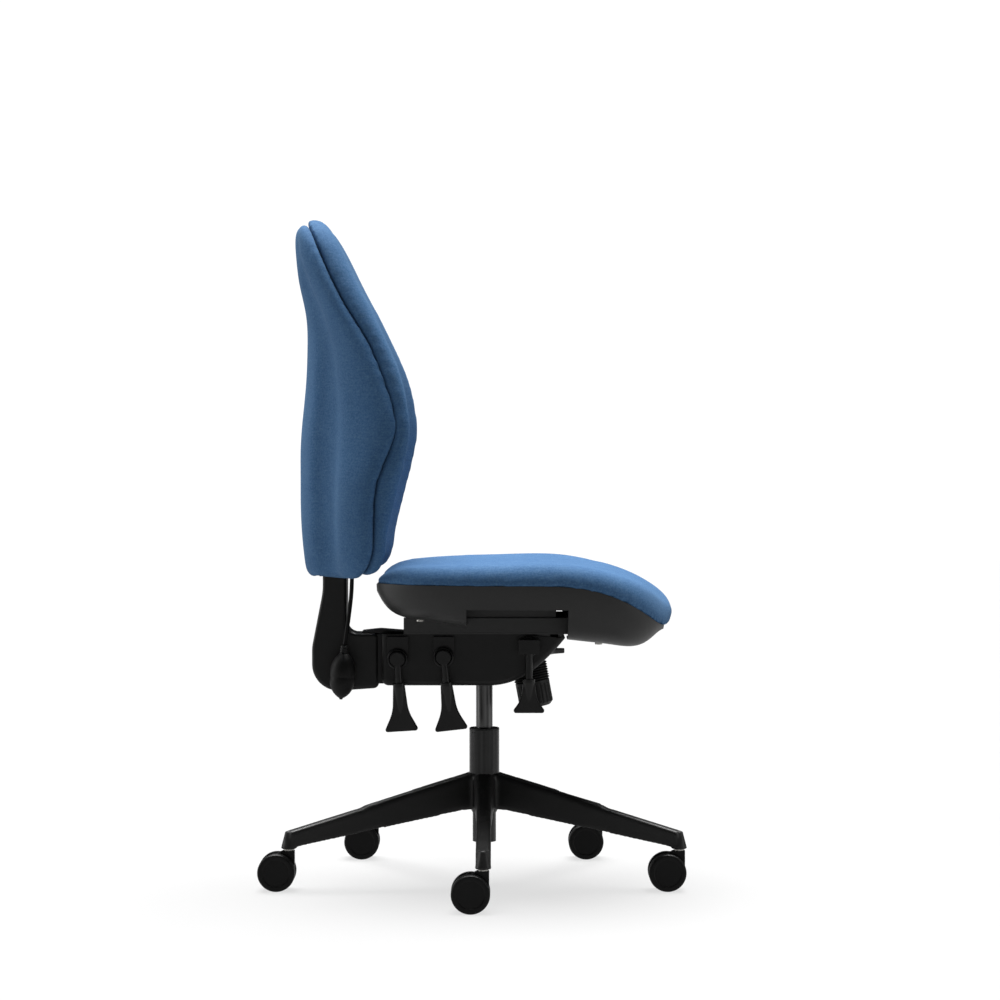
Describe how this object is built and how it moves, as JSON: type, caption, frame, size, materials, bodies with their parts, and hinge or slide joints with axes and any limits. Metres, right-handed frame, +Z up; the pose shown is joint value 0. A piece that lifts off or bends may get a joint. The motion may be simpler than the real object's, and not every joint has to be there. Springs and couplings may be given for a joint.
{
  "type": "ergonomic office chair",
  "caption": "High-back swivel task chair with wing-shaped upholstered back, waterfall seat, lever mechanism, lumbar hand pump, gas lift and castor star base.",
  "frame": {"origin": "on the floor, under the axis of the gas lift", "axes": "+X towards the front of the seat, +Y to the sitter's left, +Z up"},
  "size_m": [0.7133, 0.6679, 1.1187],
  "materials": {
    "fabric_blue": "woven upholstery",
    "base_nylon": "satin moulded",
    "tube_paint": "satin powder coat",
    "dark_steel": "blackened",
    "black_plastic": "fine grain",
    "shell_plastic": "fine grain",
    "bright_steel": "zinc plated",
    "painted_steel": "black powder coat",
    "plywood": "raw",
    "rubber_black": "moulded",
    "lever_plastic": "satin",
    "castor_nylon": "satin"
  },
  "bodies": {
    "base": {"star_base": "base_nylon", "stand_tube": "tube_paint", "guide_bush": "black_plastic", "thrust_bearing": "bright_steel"},
    "rod": {"piston_rod": "dark_steel"},
    "lift": {"gas_cylinder": "dark_steel", "mech_chassis": "painted_steel", "mech_housing": "black_plastic", "lever_bushes": "black_plastic", "pivot_pins": "bright_steel", "tension_bolt": "bright_steel", "tension_spring": "bright_steel", "tension_bellows": "rubber_black"},
    "valve": {"valve_pin": "bright_steel"},
    "rocker": {"release_rocker": "bright_steel"},
    "knob": {"tension_knob": "black_plastic"},
    "back_lever": {"back_lever_rod": "lever_plastic", "back_lever_paddle": "lever_plastic"},
    "seat_lever": {"seat_lever_rod": "lever_plastic", "seat_lever_paddle": "lever_plastic"},
    "height_lever": {"height_lever_rod": "lever_plastic", "height_lever_paddle": "lever_plastic"},
    "slide_lever": {"slide_lever_rod": "lever_plastic", "slide_lever_paddle": "lever_plastic"},
    "carrier": {"seat_plate": "painted_steel", "slide_rails": "painted_steel"},
    "seat": {"slide_runners": "painted_steel", "seat_board": "plywood", "seat_shell": "shell_plastic", "seat_cushion": "fabric_blue", "arm_inserts": "bright_steel", "shell_screws": "bright_steel"},
    "back_arm": {"back_bracket": "painted_steel", "back_arm_cover": "black_plastic", "back_arm_cap": "black_plastic"},
    "backrest": {"back_board": "plywood", "back_rear_pad": "fabric_blue", "back_front_pad": "fabric_blue", "ratchet_housing": "black_plastic", "back_bezel": "black_plastic", "air_cell": "rubber_black", "air_hose": "rubber_black", "air_bulb": "rubber_black", "bulb_valve": "black_plastic"},
    "castor_1": {"castor_1_hood": "castor_nylon", "castor_1_pins": "bright_steel"},
    "castor_1_pair": {"castor_1_wheels": "castor_nylon"},
    "castor_2": {"castor_2_hood": "castor_nylon", "castor_2_pins": "bright_steel"},
    "castor_2_pair": {"castor_2_wheels": "castor_nylon"},
    "castor_3": {"castor_3_hood": "castor_nylon", "castor_3_pins": "bright_steel"},
    "castor_3_pair": {"castor_3_wheels": "castor_nylon"},
    "castor_4": {"castor_4_hood": "castor_nylon", "castor_4_pins": "bright_steel"},
    "castor_4_pair": {"castor_4_wheels": "castor_nylon"},
    "castor_5": {"castor_5_hood": "castor_nylon", "castor_5_pins": "bright_steel"},
    "castor_5_pair": {"castor_5_wheels": "castor_nylon"}
  },
  "joints": [
    {"name": "castor_1_swivel", "type": "hinge", "parent": "base", "child": "castor_1", "pos_m": [0, -0.341, 0.0689], "axis": [0, 0, 1], "continuous": true},
    {"name": "castor_1_roll", "type": "hinge", "parent": "castor_1", "child": "castor_1_pair", "pos_m": [-0.02, -0.341, 0.0312], "axis": [0, 1, 0], "continuous": true},
    {"name": "castor_2_swivel", "type": "hinge", "parent": "base", "child": "castor_2", "pos_m": [0.32431, -0.10537, 0.0689], "axis": [0, 0, 1], "continuous": true},
    {"name": "castor_2_roll", "type": "hinge", "parent": "castor_2", "child": "castor_2_pair", "pos_m": [0.30431, -0.10537, 0.0312], "axis": [0, 1, 0], "continuous": true},
    {"name": "castor_3_swivel", "type": "hinge", "parent": "base", "child": "castor_3", "pos_m": [0.20044, 0.27587, 0.0689], "axis": [0, 0, 1], "continuous": true},
    {"name": "castor_3_roll", "type": "hinge", "parent": "castor_3", "child": "castor_3_pair", "pos_m": [0.18044, 0.27587, 0.0312], "axis": [0, 1, 0], "continuous": true},
    {"name": "castor_4_swivel", "type": "hinge", "parent": "base", "child": "castor_4", "pos_m": [-0.20044, 0.27587, 0.0689], "axis": [0, 0, 1], "continuous": true},
    {"name": "castor_4_roll", "type": "hinge", "parent": "castor_4", "child": "castor_4_pair", "pos_m": [-0.22043, 0.27587, 0.0312], "axis": [0, 1, 0], "continuous": true},
    {"name": "castor_5_swivel", "type": "hinge", "parent": "base", "child": "castor_5", "pos_m": [-0.32431, -0.10537, 0.0689], "axis": [0, 0, 1], "continuous": true},
    {"name": "castor_5_roll", "type": "hinge", "parent": "castor_5", "child": "castor_5_pair", "pos_m": [-0.34431, -0.10537, 0.0312], "axis": [0, 1, 0], "continuous": true},
    {"name": "seat_swivel", "type": "hinge", "parent": "base", "child": "rod", "pos_m": [0, 0, 0.1], "axis": [0, 0, 1], "continuous": true},
    {"name": "seat_height", "type": "slide", "parent": "rod", "child": "lift", "axis": [0, 0, 1], "range_m": [-0.065, 0.06]},
    {"name": "seat_tilt", "type": "hinge", "parent": "lift", "child": "carrier", "pos_m": [0.1, 0, 0.41], "axis": [0, 1, 0], "range_deg": [0, 7]},
    {"name": "seat_slide", "type": "slide", "parent": "carrier", "child": "seat", "axis": [1, 0, 0], "range_m": [0, 0.06]},
    {"name": "back_tilt", "type": "hinge", "parent": "lift", "child": "back_arm", "pos_m": [-0.122, 0, 0.375], "axis": [0, -1, 0], "range_deg": [0, 18]},
    {"name": "back_height", "type": "slide", "parent": "back_arm", "child": "backrest", "axis": [0, 0, 1], "range_m": [0, 0.07]},
    {"name": "back_lever_turn", "type": "hinge", "parent": "lift", "child": "back_lever", "pos_m": [-0.145, -0.07, 0.382], "axis": [0, 1, 0], "range_deg": [0, 20]},
    {"name": "seat_lever_turn", "type": "hinge", "parent": "lift", "child": "seat_lever", "pos_m": [-0.068, -0.07, 0.385], "axis": [0, -1, 0], "range_deg": [0, 20]},
    {"name": "height_lever_turn", "type": "hinge", "parent": "lift", "child": "height_lever", "pos_m": [0.075, -0.07, 0.403], "axis": [0, -1, 0], "range_deg": [0, 15], "stiffness_Nm_per_rad": 1},
    {"name": "rocker_press", "type": "hinge", "parent": "lift", "child": "rocker", "pos_m": [0.027, 0, 0.403], "axis": [0, -1, 0], "range_deg": [0, 7]},
    {"name": "valve_press", "type": "slide", "parent": "lift", "child": "valve", "axis": [0, 0, -1], "range_m": [0, 0.0038]},
    {"name": "slide_lever_lift", "type": "hinge", "parent": "lift", "child": "slide_lever", "pos_m": [0.09, 0.066, 0.38], "axis": [1, 0, 0], "range_deg": [0, 12]},
    {"name": "tension_turn", "type": "hinge", "parent": "lift", "child": "knob", "pos_m": [0.081, 0, 0.3405], "axis": [0.1822, 0, -0.9833], "range_deg": [-720, 720]}
  ],
  "couplings": [
    {"joint": "rocker_press", "follows": "height_lever_turn", "ratio": 0.4666},
    {"joint": "valve_press", "follows": "height_lever_turn", "m_per_rad": 0.014}
  ]
}
